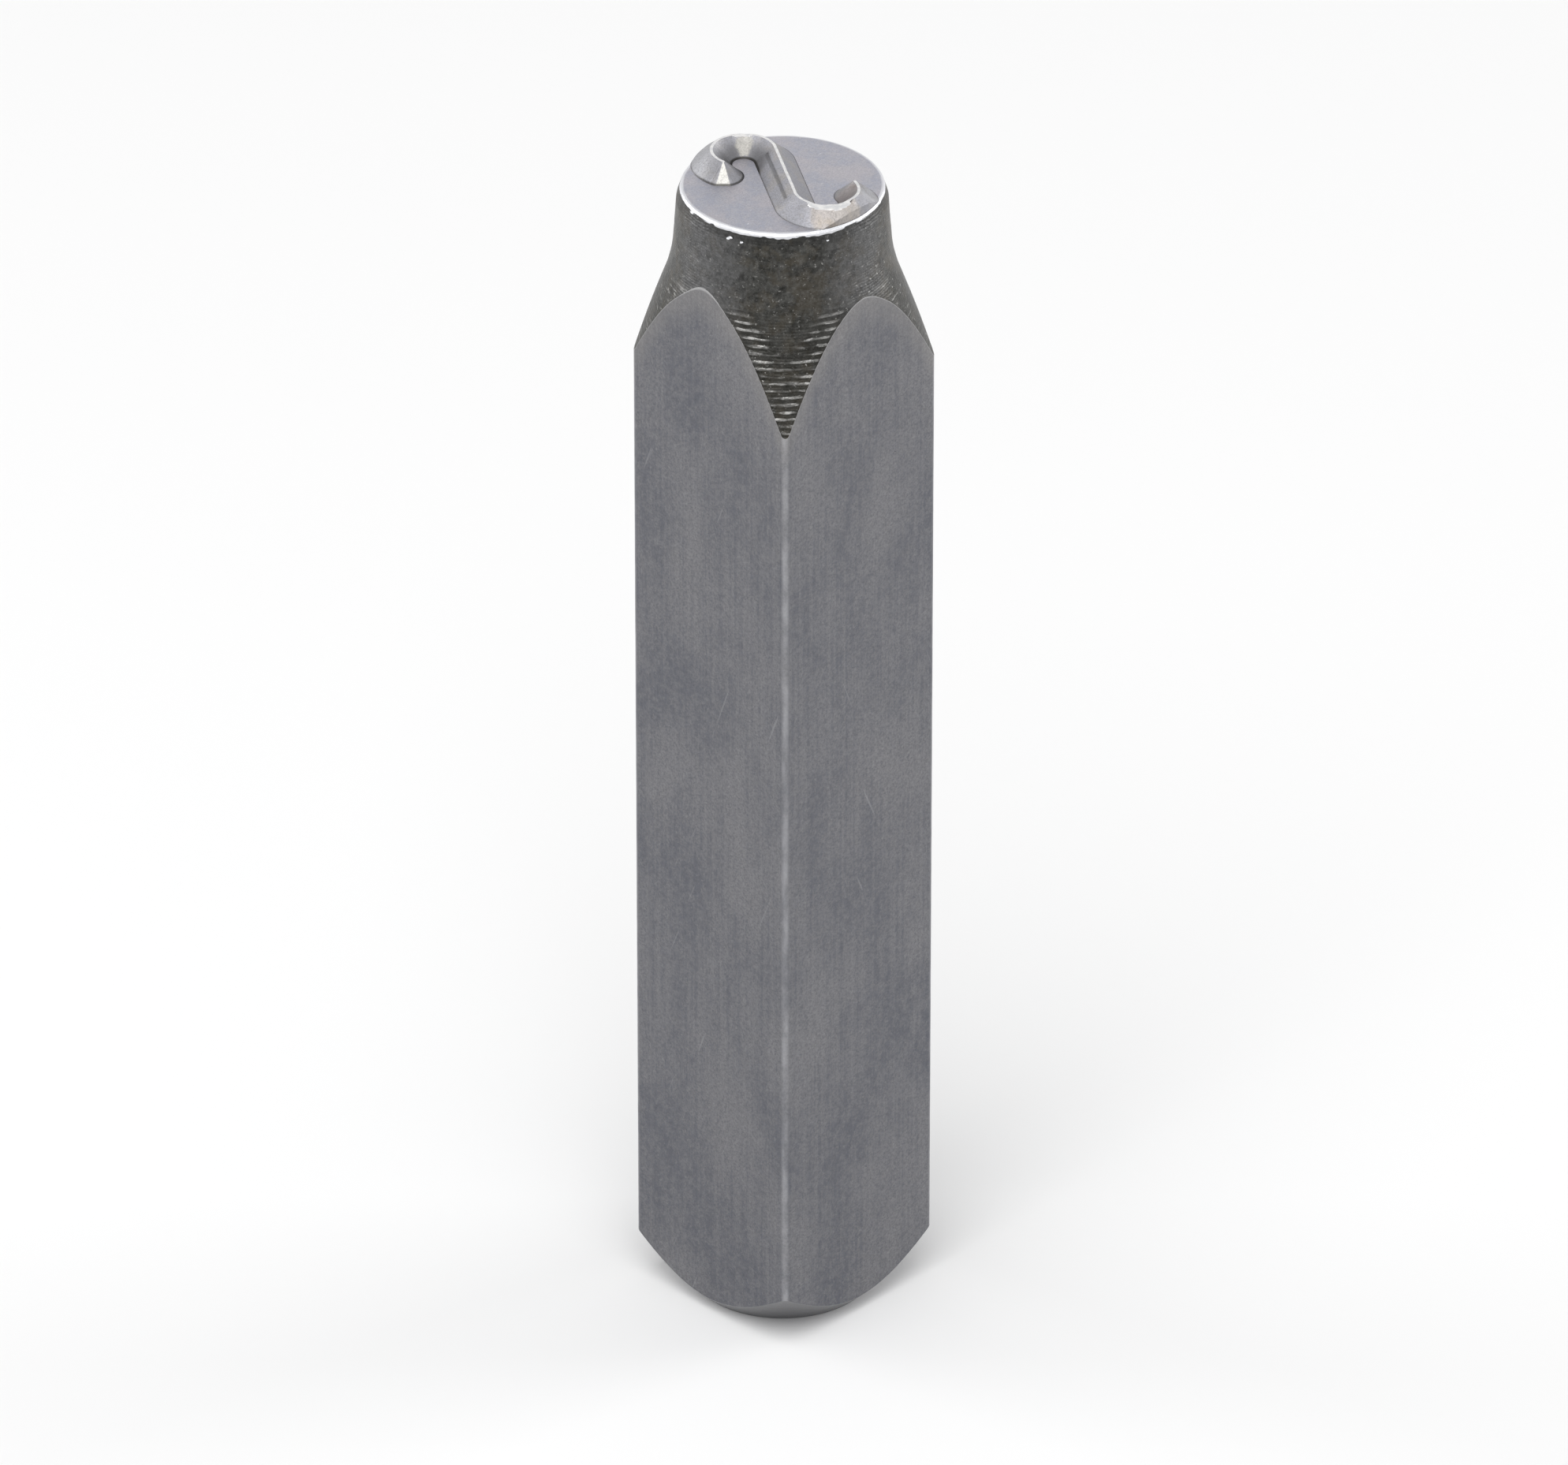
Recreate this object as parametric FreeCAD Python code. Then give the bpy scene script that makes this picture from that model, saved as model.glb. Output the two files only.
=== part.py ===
import FreeCAD, Part
import math
import os

# Letter punch, one piece of square tool steel. It stands on its struck end with the letter on top.
# Millimetres and degrees. The origin is the centre of the struck end, and Z runs up the bar.

# Bar
overall_length = 75.0
bar_width = 12.5
bar_corner_radius = 0.4

# Struck end: a turned chamfer leaves a round flat, so that the corners can't chip under the hammer
struck_flat_diameter = 11.0
struck_chamfer_angle = 45.0

# Neck: turned a little off the middle of the bar. A worn shoulder rounds the face's rim, a band
# widens slowly below it, and a hollow leads into a cone that runs out through the bar's four flats
neck_offset_x = 0.16
neck_offset_y = 0.28
face_diameter = 11.75
shoulder_diameter = 12.25
shoulder_depth = 0.8
band_length = 2.5
band_angle = 3.75
hollow_radius = 9.0
cone_angle = 20.3

# Letter: an S, mirrored so that it stamps the right way round, with sloped flanks and a narrow crest
letter_relief = 1.0
letter_height = 10.4
letter_offset_x = 0.1
letter_offset_y = -0.1
bowl_radius = 1.85
crest_width = 0.2
flank_angle = 48.0
upper_terminal_angle = 186.0
lower_terminal_angle = 344.0

UP = FreeCAD.Vector(0, 0, 1)

# The face lies one relief below the crest of the letter, which is the top of the punch.
face_level = overall_length - letter_relief
face_radius = face_diameter / 2

# Turned outlines run out to this radius, which is outside the bar's corners.
turning_reach = bar_width + abs(neck_offset_x) + abs(neck_offset_y)


def tangent(angle):
    return math.tan(math.radians(angle))


def direction(angle):
    """Unit vector in plan, with the angle measured from X towards Y."""
    return FreeCAD.Vector(math.cos(math.radians(angle)), math.sin(math.radians(angle)), 0)


def turned(edges, axis_point):
    """Solid made by turning a closed outline, drawn in the XZ plane, about a vertical axis."""
    outline = Part.Face(Part.Wire(Part.__sortEdges__(edges)))
    outline.translate(axis_point)
    return outline.revolve(axis_point, UP, 360)


def line(start, end):
    return Part.makeLine(FreeCAD.Vector(start[0], 0, start[1]), FreeCAD.Vector(end[0], 0, end[1]))


def square_bar():
    corner = FreeCAD.Vector(-bar_width / 2, -bar_width / 2, 0)
    bar = Part.makeBox(bar_width, bar_width, face_level, corner)
    upright_edges = [edge for edge in bar.Edges if edge.BoundBox.ZLength > face_level / 2]
    return bar.makeFillet(bar_corner_radius, upright_edges)


def struck_end_turning():
    """All that a lathe leaves when it chamfers the struck end."""
    flat_radius = struck_flat_diameter / 2
    chamfer_top = (turning_reach - flat_radius) * tangent(struck_chamfer_angle)
    roof = max(overall_length, chamfer_top + bar_width)
    corners = [
        (0, 0),
        (flat_radius, 0),
        (turning_reach, chamfer_top),
        (turning_reach, roof),
        (0, roof),
    ]
    edges = [line(a, b) for a, b in zip(corners, corners[1:] + corners[:1])]
    return turned(edges, FreeCAD.Vector(0, 0, 0))


def neck_turning():
    """All that a lathe leaves below the face: shoulder, band, hollow and cone."""
    shoulder = (shoulder_diameter / 2, face_level - shoulder_depth)
    band_end = (shoulder[0] + band_length * tangent(band_angle), shoulder[1] - band_length)

    # The hollow is an arc that leaves the band at its angle and turns until it has the cone's.
    def on_hollow(angle):
        turn = math.radians(angle)
        start = math.radians(band_angle)
        radius = band_end[0] + hollow_radius * (math.cos(start) - math.cos(turn))
        level = band_end[1] - hollow_radius * (math.sin(turn) - math.sin(start))
        return radius, level

    hollow_middle = on_hollow((band_angle + cone_angle) / 2)
    hollow_end = on_hollow(cone_angle)
    cone_drop = (turning_reach - hollow_end[0]) / tangent(cone_angle)
    cone_end = (turning_reach, hollow_end[1] - cone_drop)
    floor = min(0, cone_end[1]) - bar_width

    hollow = Part.Arc(*[FreeCAD.Vector(r, 0, z) for r, z in (band_end, hollow_middle, hollow_end)])
    edges = [
        line((0, face_level), (face_radius, face_level)),
        line((face_radius, face_level), shoulder),
        line(shoulder, band_end),
        hollow.toShape(),
        line(hollow_end, cone_end),
        line(cone_end, (turning_reach, floor)),
        line((turning_reach, floor), (0, floor)),
        line((0, floor), (0, face_level)),
    ]
    return turned(edges, FreeCAD.Vector(neck_offset_x, neck_offset_y, 0))


def ridge_section(centre, across):
    """Section of the letter's ridge, standing on the face at centre and spread along across."""
    crest_half = crest_width / 2
    base_half = crest_half + letter_relief * tangent(flank_angle)
    rise = UP * letter_relief
    corners = [
        centre - across * base_half,
        centre + across * base_half,
        centre + across * crest_half + rise,
        centre - across * crest_half + rise,
    ]
    return Part.Face(Part.makePolygon(corners + corners[:1]))


def ridge_end(centre):
    """Rounded terminal: the same flank, carried round the end of the crest as a cone."""
    crest_half = crest_width / 2
    base_half = crest_half + letter_relief * tangent(flank_angle)
    return Part.makeCone(base_half, crest_half, letter_relief, centre, UP)


def bowl(centre, start_angle, end_angle):
    """A curved stroke of the letter, from one angle to the other about its centre."""
    outward = direction(start_angle)
    section = ridge_section(centre + outward * bowl_radius, outward)
    return section.revolve(centre, UP, end_angle - start_angle)


def letter():
    """Two bowls joined by a straight spine that touches both, ending in two rounded terminals."""
    middle = FreeCAD.Vector(neck_offset_x + letter_offset_x, neck_offset_y + letter_offset_y, face_level)
    bowl_rise = letter_height / 2 - bowl_radius
    upper_centre = middle + FreeCAD.Vector(0, bowl_rise, 0)
    lower_centre = middle - FreeCAD.Vector(0, bowl_rise, 0)

    # The spine leans so that it is tangent to the right of the upper bowl and the left of the lower.
    spine_lean = math.degrees(math.asin(bowl_radius / bowl_rise))
    across_spine = direction(-spine_lean)
    spine_top = upper_centre + across_spine * bowl_radius
    spine_foot = lower_centre - across_spine * bowl_radius

    strokes = [
        bowl(upper_centre, -spine_lean, upper_terminal_angle),
        ridge_section(spine_top, across_spine).extrude(spine_foot - spine_top),
        bowl(lower_centre, 180 - spine_lean, lower_terminal_angle),
        ridge_end(upper_centre + direction(upper_terminal_angle) * bowl_radius),
        ridge_end(lower_centre + direction(lower_terminal_angle) * bowl_radius),
    ]
    ridge = strokes[0].multiFuse(strokes[1:])

    # The flanks that would overhang the face were turned off with the neck.
    face_centre = FreeCAD.Vector(neck_offset_x, neck_offset_y, face_level)
    return ridge.common(Part.makeCylinder(face_radius, letter_relief, face_centre, UP))


def letter_punch():
    body = square_bar().common(struck_end_turning()).common(neck_turning())
    return body.fuse(letter()).removeSplitter()


os.makedirs("parts", exist_ok=True)
punch = letter_punch().Solids[0]
punch.exportStep("parts/letter_punch.step")
print("letter_punch", "valid", punch.isValid(), "volume", round(punch.Volume, 1), "faces", len(punch.Faces))
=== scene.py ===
import bpy
import math
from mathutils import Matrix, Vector, noise


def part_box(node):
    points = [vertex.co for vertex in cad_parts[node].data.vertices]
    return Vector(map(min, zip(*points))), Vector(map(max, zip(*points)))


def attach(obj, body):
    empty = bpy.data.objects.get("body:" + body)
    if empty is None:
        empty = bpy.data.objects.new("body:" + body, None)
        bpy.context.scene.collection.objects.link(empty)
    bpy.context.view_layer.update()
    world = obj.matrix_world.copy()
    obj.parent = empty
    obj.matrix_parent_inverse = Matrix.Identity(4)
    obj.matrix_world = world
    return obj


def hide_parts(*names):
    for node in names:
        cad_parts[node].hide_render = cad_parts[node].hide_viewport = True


# Letter punch in tool steel. It is modelled in millimetres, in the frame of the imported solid, and
# brought to metres when it is finished. Z runs up the bar, and the letter's top lies towards +Y.
METRE = 0.001

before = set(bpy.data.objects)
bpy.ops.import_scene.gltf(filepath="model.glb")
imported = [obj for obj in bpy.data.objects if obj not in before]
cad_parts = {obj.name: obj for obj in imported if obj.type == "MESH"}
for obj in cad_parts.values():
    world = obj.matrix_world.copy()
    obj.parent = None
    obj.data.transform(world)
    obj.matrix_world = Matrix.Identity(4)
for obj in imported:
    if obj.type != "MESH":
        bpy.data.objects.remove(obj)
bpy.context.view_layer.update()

node_low, node_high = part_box("letter_punch")
overall_length = node_high[2] / METRE
bar_width = (node_high[0] - node_low[0]) / METRE
half_bar = bar_width / 2

# Bar
bar_corner_radius = 0.4
bar_corner_steps = 6
bar_overrun = 1.0
struck_flat_radius = 5.5

# Neck, turned about an axis a little off the middle of the bar
neck_x = 0.16
neck_y = 0.28
face_radius = 5.875
shoulder_radius = 6.125
shoulder_depth = 0.8
band_length = 2.5
band_angle = math.radians(3.75)
hollow_radius = 9.0
cone_angle = math.radians(20.3)
rim_radius = 0.13
rim_steps = 6
turning_overrun = 0.6
turns_round = 384

# Both ends of the turning have one ring of points between the middle and the edge. The neck is
# first drawn in a few straight stages, which are then divided.
struck_ring_share = 0.5
face_ring_share = 0.6
neck_stages = 4
band_stages = 2

# Letter, a mirrored S with sloped flanks and a narrow crest
letter_relief = 1.0
letter_height = 10.4
letter_x = neck_x + 0.1
letter_y = neck_y - 0.1
bowl_radius = 1.85
crest_half = 0.085
flank_angle = math.radians(48)
upper_terminal = math.radians(186)
lower_terminal = math.radians(344)
letter_root = 0.35
facet_half_angle = math.radians(21)
facet_reach = 1.4
flank_drops = (0, 0.04, 0.08, 0.12, 0.16, 0.2, 0.24, 0.3, 0.5, 0.75, 1.0)
bowl_steps = 64
spine_steps = 32
terminal_sides = 72

# How much of the face's rounded rim the groove and the letter leave free, as shares of its radius
groove_rim_share = 0.6
letter_rim_share = 0.25

# Helical marks of the turning tool. They end at one drop below the face and are whole at another.
# They grow dull from the first to the second depth inside the flats, and in the quiet middle of a
# corner, reckoned in the same way, they end lower by the lag. Their painted highlights on the ridges
# and painted shade in the bottoms end lower still.
feed = 0.39
rings_per_mark = 10
band_ring_spacing = 0.08
mark_depth = 0.038
marks_end_drop = 4.1
marks_whole_drop = 5.5
marks_dull = (0.35, 1.3)
quiet_middle = (0.4, 1.4)
quiet_middle_lag = 2.2
bright_end_lag = 0.5
bright_whole_lag = 0.3

# What is left of the marks where the tool didn't tear, where they are dull, at the back and right
# at the edge of a flat
untorn_share = 0.25
dull_share = 0.5
back_share = 0.2
flat_edge_share = 0.3
flat_edge_width = 0.05
front_spread = math.radians(52)

# Unevenness of the neck, as heights in millimetres and waves to the millimetre
feed_wander = ((0.14, 0.6), (0.1, 1.8))
fade_wander = ((0.5, 0.8),)
dent_waves = ((0.010, 1.3), (0.006, 4))
dents_on_hollow = 0.15
dents_fade_length = 0.8
tear_waves_round = 1.4
tear_waves_up = 2.9
tear_edge = 0.3

# Burr rolled over the rim: how far it hangs and swells at least, and how much more where it is
# heavy. It keeps its full thickness for a share of its hang.
burr_lowest = 0.75
burr_thick_share = 0.75
burr_hang = 0.15
burr_hang_more = 0.2
burr_swell = 0.04
burr_swell_more = 0.06
burr_least = 0.3
burr_mean = 0.6
burr_waves = ((0.6, 5), (0.35, 13))

# Torn flakes under the burr: degrees from the front, drop below the face, and width
rim_flakes = ((-30, 0.6, 0.36), (-22.5, 0.68, 0.28), (25, 0.62, 0.2))
flake_mean = 0.85
flake_raggedness = 0.6
flake_waves = 1.5
flake_flatness = 0.65

# Lines that the engraving tool left round the letter's foot and along its spine
outline_groove_depth = 0.05
outline_groove_width = 0.07
groove_cutter_top = 0.2
scribe_across = 0.42
scribe_width = 0.2
scribe_depth = 0.06
scribe_lip = 0.05
scribe_steepness = 0.02
scribe_start = 0.02

# Wear of the letter: its crest is flat in stretches, with a nick beside one, and nothing is even
crest_wear = 0.2
wear_fade = math.radians(14)
wear_mean = 0.9
wear_waves = ((0.4, 2),)
crest_reach = 0.9
chip_angle = math.radians(-88)
chip_size = 0.46
chip_outside = 0.35
chip_sink = 0.02
chip_lean = 0.62
waver_start = 0.05
sway_crest = 0.012
sway_flank = 0.028
sway_flank_depths = (0.05, 0.35)
sway_waves = 2.1
sway_other_place = Vector((7, 3, 1))
crest_sag = 0.008
sag_waves = 1.5

# Points closer than this are one point, after a sweep and after the last cut.
seam_gap = 0.0005
weld_gap = 0.002
crease_angle = math.radians(40)

# Where the view of the photograph comes from, in the punch's own axes
view_elevation = math.radians(28.94)
view_heading = math.radians(44.57)
view_distance = 928.0
lens = 371.0
room_light = 0.5


def smooth_step(low, high, value):
    """0 up to low, 1 from high, and smooth between them."""
    share = min(max((value - low) / (high - low), 0.0), 1.0)
    return share * share * (3 - 2 * share)


def at_least(least, share):
    """A share from 0 to 1, raised so that it runs from least to 1."""
    return least + (1 - least) * share


def waves(place, heights):
    """Sum of smooth noises, each given as its height and its waves to the millimetre."""
    return sum(height * noise.noise(place * pitch) for height, pitch in heights)


def heading(angle):
    """Unit vector in plan, with the angle measured from X towards Y."""
    return Vector((math.cos(angle), math.sin(angle), 0))


face_level = overall_length - letter_relief
face_edge = face_radius - rim_radius
cone_tangent = math.tan(cone_angle)
flank_slope = math.tan(flank_angle)
front = -heading(view_heading)
marks_fade_out = face_level - marks_end_drop
marks_fade_in = face_level - marks_whole_drop

# The turned outline, from the face down: shoulder, band, hollow and cone.
shoulder_level = face_level - shoulder_depth
band_foot_level = shoulder_level - band_length
band_foot_radius = shoulder_radius + band_length * math.tan(band_angle)
hollow_centre_radius = band_foot_radius + hollow_radius * math.cos(band_angle)
hollow_centre_level = band_foot_level + hollow_radius * math.sin(band_angle)
hollow_foot_level = hollow_centre_level - hollow_radius * math.sin(cone_angle)
hollow_foot_radius = hollow_centre_radius - hollow_radius * math.cos(cone_angle)
corner_reach = (half_bar - bar_corner_radius) * math.sqrt(2) + bar_corner_radius + turning_overrun
cone_foot_level = hollow_foot_level - (corner_reach - hollow_foot_radius) / cone_tangent

# The letter's two bowls, and the spine that is tangent to both.
bowl_rise = letter_height / 2 - bowl_radius
spine_lean = math.asin(bowl_radius / bowl_rise)
upper_centre = Vector((letter_x, letter_y + bowl_rise, face_level))
lower_centre = Vector((letter_x, letter_y - bowl_rise, face_level))
upper_tip = upper_centre + heading(upper_terminal) * bowl_radius
lower_tip = lower_centre + heading(lower_terminal) * bowl_radius
across_spine = heading(-spine_lean)
spine_run = lower_centre - upper_centre - across_spine * bowl_radius * 2

# Where the crest is worn flat: the bowl's centre, the middle of the stretch, half its length and
# how deep it is, as a share of the deepest wear.
worn_stretches = (
    (lower_centre, math.radians(-130), math.radians(43), 1.0),
    (upper_centre, math.radians(47), math.radians(22), 0.5),
)


def turned_radius(level):
    """Radius of the neck at a level, before the tool marks."""
    if level > shoulder_level:
        return face_radius + (shoulder_radius - face_radius) * (face_level - level) / shoulder_depth
    if level > band_foot_level:
        return shoulder_radius + (shoulder_level - level) * math.tan(band_angle)
    if level > hollow_foot_level:
        drop = hollow_centre_level - level
        return hollow_centre_radius - math.sqrt(hollow_radius ** 2 - drop ** 2)
    return hollow_foot_radius + (hollow_foot_level - level) * cone_tangent


# Modelling, as by hand

def pick(piece):
    """Makes a piece the only one that is selected."""
    bpy.ops.object.select_all(action="DESELECT")
    bpy.context.view_layer.objects.active = piece
    piece.select_set(True)


def editing(piece):
    if bpy.context.mode != "OBJECT":
        bpy.ops.object.mode_set(mode="OBJECT")
    pick(piece)
    bpy.ops.object.mode_set(mode="EDIT")


def placed():
    """The piece that was just added, with its place and turn applied to its points."""
    bpy.ops.object.transform_apply(location=True, rotation=True, scale=False)
    return bpy.context.object


def select_edges(piece, wanted):
    """Selects the edges that wanted says yes to, and leaves the piece in edit mode."""
    editing(piece)
    bpy.ops.mesh.select_mode(type="EDGE")
    bpy.ops.mesh.select_all(action="DESELECT")
    bpy.ops.object.mode_set(mode="OBJECT")
    for edge in piece.data.edges:
        edge.select = wanted(edge)
    bpy.ops.object.mode_set(mode="EDIT")


def drawn(name, points, closed=False):
    """A chain of edges drawn through points, and filled where the chain closes."""
    bpy.ops.object.select_all(action="DESELECT")
    bpy.ops.mesh.primitive_plane_add(size=1)
    piece = bpy.context.object
    piece.name = name
    bpy.ops.object.mode_set(mode="EDIT")
    bpy.ops.mesh.select_mode(type="VERT")
    bpy.ops.mesh.select_all(action="SELECT")
    bpy.ops.mesh.merge(type="CENTER")
    bpy.ops.transform.translate(value=points[0])
    for start, end in zip(points, points[1:]):
        step = Vector(end) - Vector(start)
        bpy.ops.mesh.extrude_region_move(TRANSFORM_OT_translate={"value": step})
    bpy.ops.mesh.select_all(action="SELECT")
    if closed:
        bpy.ops.mesh.edge_face_add()
    return piece


def closed_up(piece):
    """Merges the seam and the poles, turns the faces outwards and leaves edit mode."""
    bpy.ops.mesh.select_all(action="SELECT")
    bpy.ops.mesh.remove_doubles(threshold=seam_gap)
    bpy.ops.mesh.normals_make_consistent(inside=False)
    bpy.ops.object.mode_set(mode="OBJECT")
    return piece


def apply_modifier(piece, kind, **settings):
    pick(piece)
    modifier = piece.modifiers.new(kind.lower(), kind)
    for name, value in settings.items():
        setattr(modifier, name, value)
    bpy.ops.object.modifier_apply(modifier=modifier.name)


def combine(piece, other, operation):
    apply_modifier(piece, "BOOLEAN", operation=operation, object=other, solver="MANIFOLD")
    bpy.data.objects.remove(other)


def divide_edges(piece, low, high, spacing):
    """Divides the edges of an outline between two levels into short ones."""
    slack = spacing * 0.1

    def between(edge):
        levels = [piece.data.vertices[index].co.z for index in edge.vertices]
        return min(levels) > low - slack and max(levels) < high + slack

    select_edges(piece, between)
    stages = sum(edge.select for edge in piece.data.edges)
    bpy.ops.mesh.subdivide(number_cuts=round((high - low) / stages / spacing) - 1)
    bpy.ops.object.mode_set(mode="OBJECT")


def turned_blank():
    """The bar as a lathe would leave it if the bar were round, from the struck end to the face."""
    rim_foot = face_level - rim_radius
    outline = [(0, 0), (struck_flat_radius * struck_ring_share, 0), (struck_flat_radius, 0)]
    outline += [(corner_reach, corner_reach - struck_flat_radius), (corner_reach, cone_foot_level)]
    stretches = ((cone_foot_level, marks_fade_out, neck_stages), (marks_fade_out, rim_foot, band_stages))
    for low, high, stages in stretches:
        levels = [low + (high - low) * (stage + 1) / stages for stage in range(stages)]
        outline += [(turned_radius(level), level) for level in levels]
    for step in range(1, rim_steps + 1):
        turn = math.radians(90 * step / rim_steps)
        inwards = rim_radius * (1 - math.cos(turn))
        downwards = rim_radius * (1 - math.sin(turn))
        outline.append((face_radius - inwards, face_level - downwards))
    outline += [(face_radius * face_ring_share, face_level), (0, face_level)]

    # The neck is divided into rings, close together where the tool marks are.
    blank = drawn("blank", [(radius, 0, level) for radius, level in outline])
    divide_edges(blank, cone_foot_level, marks_fade_out, feed / rings_per_mark)
    divide_edges(blank, marks_fade_out, rim_foot, band_ring_spacing)
    apply_modifier(blank, "SCREW", angle=math.tau, steps=turns_round, render_steps=turns_round)
    editing(blank)
    bpy.ops.mesh.select_all(action="SELECT")
    bpy.ops.transform.translate(value=(neck_x, neck_y, 0))
    return closed_up(blank)


def front_share(arm):
    """1 on the side of the neck that faces the view, 0 at its sides and beyond."""
    turn = (math.atan2(arm.y, arm.x) - view_heading) % math.tau - math.pi
    return math.exp(-(turn / front_spread) ** 2)


def tool_mark(arm, level, inside):
    """How deep the tool cut at a place on the neck, which lies so far inside the nearest flat."""
    around = Vector((arm.x, arm.y, level))
    phase = level / feed + math.atan2(arm.y, arm.x) / math.tau + waves(around, feed_wander)
    scallop = 0.5 - 0.5 * math.cos(math.tau * phase)

    # The marks are boldest where the tool tore, beside the flats and towards the view.
    torn = Vector((arm.x * tear_waves_round, arm.y * tear_waves_round, level * tear_waves_up))
    tear = smooth_step(-tear_edge, tear_edge, noise.noise(torn))
    rubbed_and_highlit = 1 - smooth_step(*marks_dull, inside)
    strength = at_least(untorn_share, tear) * at_least(dull_share, rubbed_and_highlit)
    strength *= at_least(back_share, front_share(arm))
    strength *= at_least(flat_edge_share, smooth_step(0, flat_edge_width, inside))

    # They fade out towards the face, and already lower down in the middle of a corner.
    lift = quiet_middle_lag * smooth_step(*quiet_middle, inside) + waves(arm, fade_wander)
    fade = 1 - smooth_step(marks_fade_in, marks_fade_out, level + lift)
    return mark_depth * fade * (0.5 + (scallop - 0.5) * strength)


def dent(arm, level):
    """Depth of the shallow dents that cover the band, and of the few below it."""
    around = Vector((arm.x, arm.y, level))
    depth = sum(height * (1 + noise.noise(around * pitch)) for height, pitch in dent_waves)
    on_band = smooth_step(band_foot_level, band_foot_level + dents_fade_length, level)
    return depth * at_least(dents_on_hollow, on_band)


def cut_tool_marks(blank):
    """Moves the neck's skin inwards by the tool's marks and the dents."""
    lowest = cone_foot_level - feed / rings_per_mark
    highest = face_level - rim_radius
    for vertex in blank.data.vertices:
        arm = Vector((vertex.co.x - neck_x, vertex.co.y - neck_y, 0))
        level = vertex.co.z
        if not lowest < level < highest:
            continue
        inside = half_bar - max(abs(vertex.co.x), abs(vertex.co.y))
        depth = tool_mark(arm, level, inside) + dent(arm, level)
        vertex.co = Vector((neck_x, neck_y, level)) + arm.normalized() * (turned_radius(level) - depth)


def roll_rim(blank):
    """Pushes the rim of the face out into an uneven burr, which is heaviest towards the front."""
    for vertex in blank.data.vertices:
        arm = Vector((vertex.co.x - neck_x, vertex.co.y - neck_y, 0))
        below = face_level - vertex.co.z
        if below > burr_lowest or arm.length < face_edge - rim_radius:
            continue
        around = arm.normalized()
        uneven = max(burr_mean + waves(around, burr_waves), burr_least)
        hang = burr_hang + burr_hang_more * uneven
        near = 1 - smooth_step(hang * burr_thick_share, hang, below)
        vertex.co += around * near * front_share(arm) * (burr_swell + burr_swell_more * uneven)


def add_flakes(blank):
    """Adds the small torn flakes that hang on the shoulder under the burr."""
    for turn, drop, width in rim_flakes:
        level = face_level - drop
        away = heading(view_heading + math.pi + math.radians(turn)) * turned_radius(level)
        place = Vector((neck_x, neck_y, level)) + away
        bpy.ops.object.select_all(action="DESELECT")
        bpy.ops.mesh.primitive_ico_sphere_add(subdivisions=3, radius=width / 2, location=place)
        flake = placed()
        for vertex in flake.data.vertices:
            offset = vertex.co - place
            offset *= flake_mean + flake_raggedness * noise.noise(vertex.co * (flake_waves / width))
            offset.z *= flake_flatness
            vertex.co = place + offset
        combine(blank, flake, "UNION")


def square_bar():
    """Square bar with its four long corners rounded, a little longer than the punch at both ends."""
    bpy.ops.object.select_all(action="DESELECT")
    bpy.ops.mesh.primitive_cube_add(size=1, location=(0, 0, overall_length / 2))
    bar = bpy.context.object
    bar.name = "punch"
    bar.scale = (bar_width, bar_width, overall_length + 2 * bar_overrun)
    bpy.ops.object.transform_apply(location=True, rotation=False, scale=True)

    def upright(edge):
        start, end = [bar.data.vertices[index].co for index in edge.vertices]
        return abs(start.z - end.z) > bar_width

    select_edges(bar, upright)
    bpy.ops.mesh.bevel(offset=bar_corner_radius, segments=bar_corner_steps)
    bpy.ops.object.mode_set(mode="OBJECT")
    return bar


def sweep_round(centre, angle):
    """Spins what is selected about a vertical axis, from X towards Y where the angle is positive."""
    bpy.ops.mesh.spin(steps=bowl_steps, angle=angle, center=centre, axis=(0, 0, -1))


def section_at(place, across, section):
    """Points of a section, given as distance across and height, where it stands at a place."""
    return [place + across * out + Vector((0, 0, up)) for out, up in section]


def stroke(name, section):
    """One solid swept along the whole letter, from the upper terminal to the lower one."""
    piece = drawn(name, section_at(upper_tip, heading(upper_terminal), section), closed=True)
    sweep_round(upper_centre, -spine_lean - upper_terminal)
    for step in range(spine_steps):
        bpy.ops.mesh.extrude_region_move(TRANSFORM_OT_translate={"value": spine_run / spine_steps})
    sweep_round(lower_centre, lower_terminal + spine_lean - math.pi)
    return closed_up(piece)


def terminal(tip, foot_radius, top_radius, low, high):
    """Round end of a stroke, a cone about the end of the crest."""
    bpy.ops.object.select_all(action="DESELECT")
    bpy.ops.mesh.primitive_cone_add(
        vertices=terminal_sides, radius1=foot_radius, radius2=top_radius, depth=high - low,
        location=(tip.x, tip.y, face_level + (low + high) / 2),
    )
    return placed()


def flatten_front(cone, tip, foot_radius, top_radius, middle):
    """Presses the front of a terminal into a flat facet. Its points lie below and above the middle."""
    for vertex in cone.data.vertices:
        radius = foot_radius if vertex.co.z < middle else top_radius
        beyond = (vertex.co - tip).dot(front) - radius * math.cos(facet_half_angle)
        vertex.co -= front * max(beyond, 0)


def whole_letter(name, section, foot_radius, top_radius, low, high):
    """The stroke with both its terminals. The upper one has the facet."""
    letter = stroke(name, section)
    upper_end = terminal(upper_tip, foot_radius, top_radius, low, high)
    flatten_front(upper_end, upper_tip, foot_radius, top_radius, face_level + (low + high) / 2)
    combine(letter, upper_end, "UNION")
    combine(letter, terminal(lower_tip, foot_radius, top_radius, low, high), "UNION")
    return letter


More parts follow.
